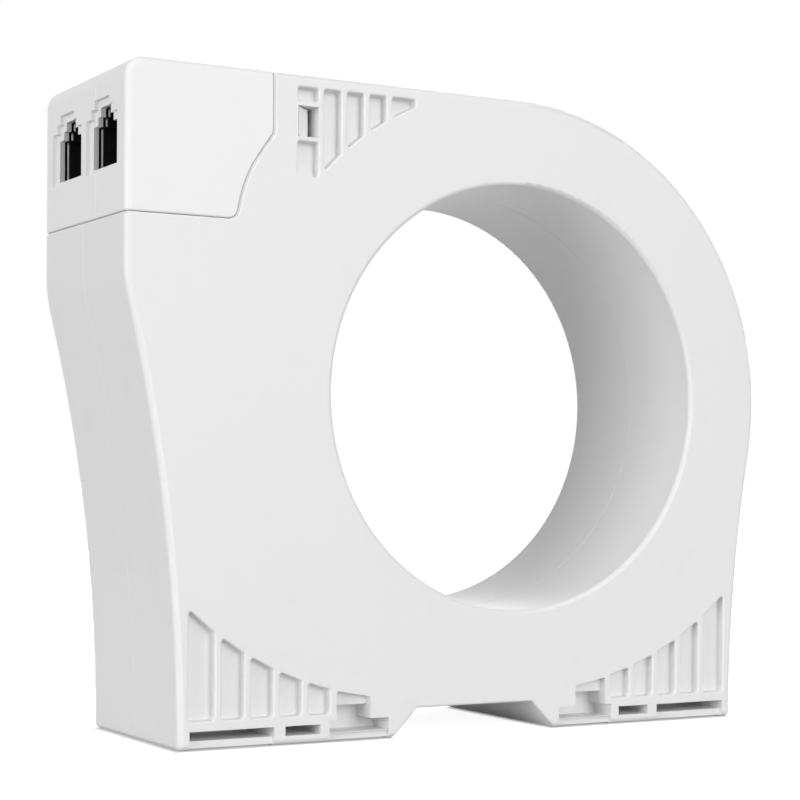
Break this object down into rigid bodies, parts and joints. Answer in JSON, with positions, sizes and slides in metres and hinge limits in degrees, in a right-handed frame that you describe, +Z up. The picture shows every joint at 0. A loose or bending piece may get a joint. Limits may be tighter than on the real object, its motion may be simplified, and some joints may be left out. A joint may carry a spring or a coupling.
{
  "type": "current transformer",
  "caption": "Window-type ring current transformer: moulded housing round a large bore, two feet and a slide-on module with modular jacks at the upper left.",
  "frame": {"origin": "centre of the round primary bore, half way through the depth", "axes": "+X to the right seen from the front face, away from the connector module; +Y along the bore from the front to the rear face; +Z up, away from the feet"},
  "size_m": [0.1188, 0.035, 0.1039],
  "materials": {
    "housing": "light grey moulded polycarbonate, fine satin",
    "module_cover": "light grey moulded polycarbonate, fine satin",
    "latch": "light grey moulded polycarbonate",
    "jack": "black moulded polyester",
    "gold_contact": "thin gold plating",
    "connector": "black moulded polyester",
    "circuit_board": "green solder resist on glass fibre",
    "chip": "dark moulding compound",
    "core_strip": "wound soft magnetic strip",
    "core_case": "natural moulded polyamide",
    "copper_wire": "enamelled copper wire",
    "tape": "amber polyester tape",
    "lead_sleeve": "insulated stranded wire"
  },
  "bodies": {
    "housing": {"front_housing": "housing", "rear_housing": "housing", "ring_core": "core_strip", "core_case_front": "core_case", "core_case_rear": "core_case", "secondary_winding": "copper_wire", "insulation_wrap": "tape", "winding_leads": "lead_sleeve", "housing_board": "circuit_board", "burden_resistors": "chip", "interface_socket": "connector", "socket_contacts": "gold_contact"},
    "module": {"module_front_cover": "module_cover", "module_rear_cover": "module_cover", "front_latch": "latch", "rear_latch": "latch", "front_jack": "jack", "rear_jack": "jack", "front_jack_contacts": "gold_contact", "rear_jack_contacts": "gold_contact", "plug_contacts": "gold_contact", "interface_plug": "connector", "module_board": "circuit_board", "filter_parts": "chip", "memory_chip": "chip"}
  },
  "joints": [
    {"name": "module_slide", "type": "slide", "parent": "housing", "child": "module", "axis": [-1, 0, 0], "range_m": [0, 0.03], "deforming": ["front_latch", "rear_latch"]}
  ]
}
